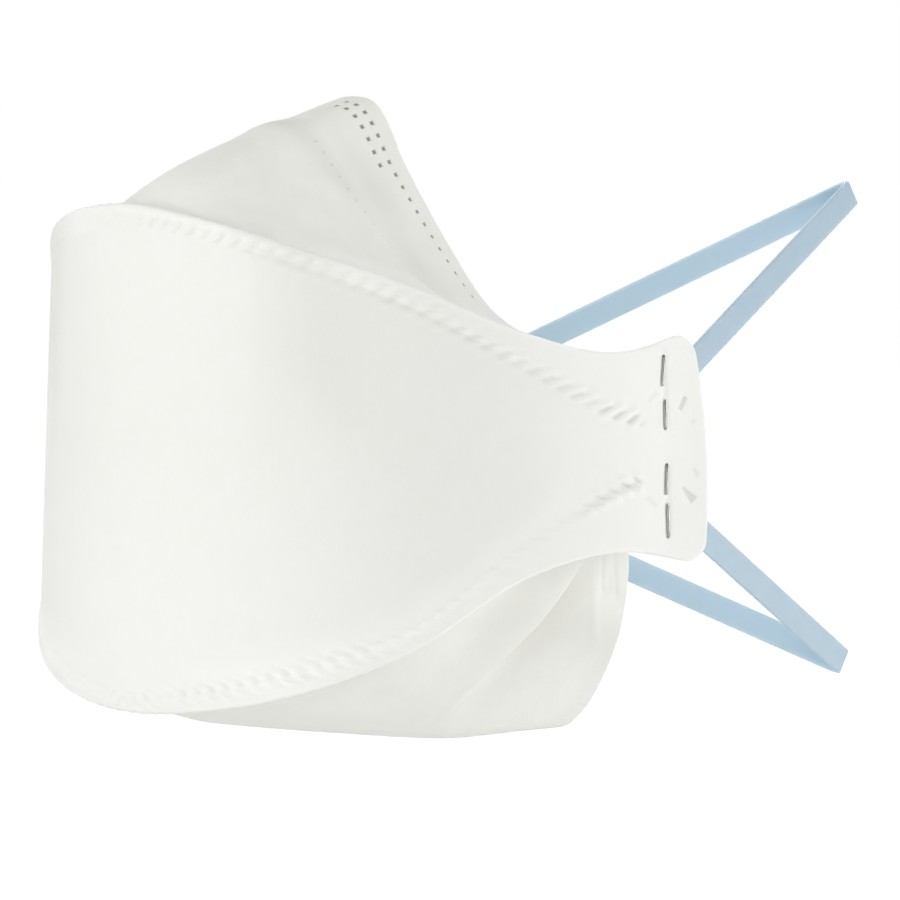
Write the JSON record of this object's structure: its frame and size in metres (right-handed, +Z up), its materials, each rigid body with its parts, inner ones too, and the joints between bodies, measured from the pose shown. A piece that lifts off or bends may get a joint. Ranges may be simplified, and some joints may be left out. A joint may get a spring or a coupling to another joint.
{
  "type": "dust mask",
  "caption": "Flat-fold dust mask: welded nonwoven front, nose and chin panels in an open cup, with flat elastic headbands stapled to its ear tabs.",
  "frame": {"origin": "midway between the staples of the two ear tabs, in the hollow where the face goes", "axes": "+Z up, +Y from the mask back through the wearer's head so that the wearer looks along -Y, +X to the wearer's left"},
  "size_m": [0.1288, 0.1814, 0.1132],
  "materials": {
    "filter_laminate": "matte white nonwoven",
    "cover_laminate": "matte off-white nonwoven",
    "elastic": "smooth matte pale blue",
    "staple_wire": "bright drawn wire"
  },
  "bodies": {
    "root": {"front_panel": "filter_laminate", "nose_panel": "cover_laminate", "chin_panel": "cover_laminate", "upper_headband": "elastic", "lower_headband": "elastic", "upper_left_staple": "staple_wire", "lower_left_staple": "staple_wire", "upper_right_staple": "staple_wire", "lower_right_staple": "staple_wire"}
  },
  "joints": []
}
